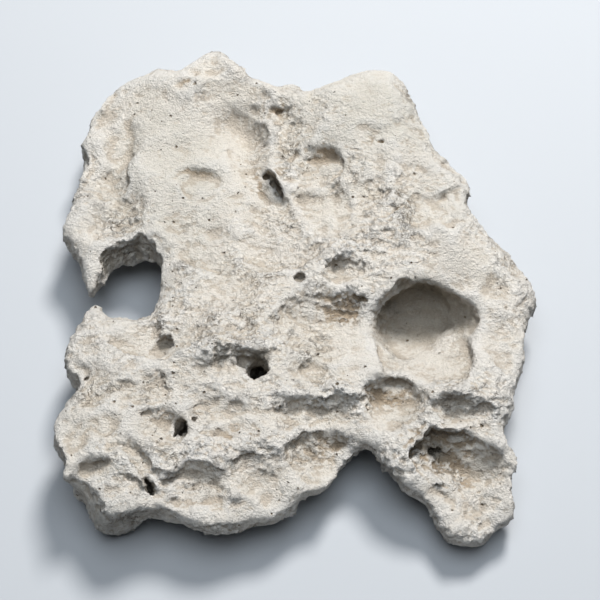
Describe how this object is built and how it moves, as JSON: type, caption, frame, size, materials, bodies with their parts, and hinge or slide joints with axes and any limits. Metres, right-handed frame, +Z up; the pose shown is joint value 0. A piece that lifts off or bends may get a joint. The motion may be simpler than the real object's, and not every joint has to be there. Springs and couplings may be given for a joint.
{
  "type": "holey limestone rock",
  "caption": "Flat, water-worn limestone rock with scooped hollows, a deep pit, through holes and a bite in one side, for aquariums and displays.",
  "frame": {"origin": "on the surface the rock rests on, under the middle of its bounding box", "axes": "+Z up; +Y to the jagged back edge; +X to the side with the deep pit, away from the bitten side"},
  "size_m": [0.2222, 0.2478, 0.0566],
  "materials": {
    "limestone": "dry, chalky, matt"
  },
  "bodies": {
    "root": {"rock": "limestone"}
  },
  "joints": []
}
